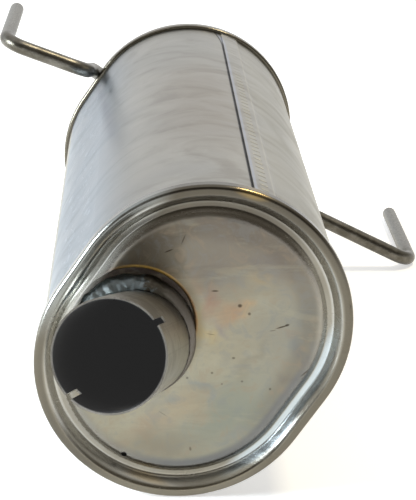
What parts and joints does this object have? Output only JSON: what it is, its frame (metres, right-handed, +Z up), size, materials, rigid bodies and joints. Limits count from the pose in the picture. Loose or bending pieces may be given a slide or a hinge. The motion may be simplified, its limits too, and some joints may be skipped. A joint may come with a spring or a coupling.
{
  "type": "rear muffler",
  "caption": "Obround sheet-steel muffler with rolled rims, a slanted slotted inlet pipe, a rear outlet pipe and bent hanger rods.",
  "frame": {"origin": "middle of the footprint, on the surface that the muffler lies on", "axes": "+Y along the body from the inlet end to the rear end, +Z up with the oval rolled as it comes to rest, +X to the right seen from the inlet end"},
  "size_m": [0.2984, 0.5844, 0.1707],
  "materials": {
    "shell_steel": "aluminised sheet, satin, with smears",
    "cap_steel": "pressed sheet, satin, with heat tints",
    "pipe_steel": "drawn tube with fine rings",
    "weld_metal": "rippled weld",
    "rod_steel": "dark drawn rod",
    "inner_steel": "plain sheet, not seen",
    "steel_wool": "packed wire, not seen",
    "glass_wool": "packed fibre, not seen"
  },
  "bodies": {
    "root": {"outer_shell": "shell_steel", "front_end_cap": "cap_steel", "rear_end_cap": "cap_steel", "inlet_pipe": "pipe_steel", "inlet_weld": "weld_metal", "inlet_tube": "inner_steel", "outlet_tube": "inner_steel", "long_return_tube": "inner_steel", "short_return_tube": "inner_steel", "front_baffle": "inner_steel", "middle_baffle": "inner_steel", "rear_baffle": "inner_steel", "steel_wool_sleeve": "steel_wool", "wool_pack": "glass_wool", "outlet_pipe": "pipe_steel", "outlet_weld": "weld_metal", "hanger_left": "rod_steel", "hanger_right": "rod_steel", "hanger_left_weld": "weld_metal", "hanger_right_weld": "weld_metal"}
  },
  "joints": []
}
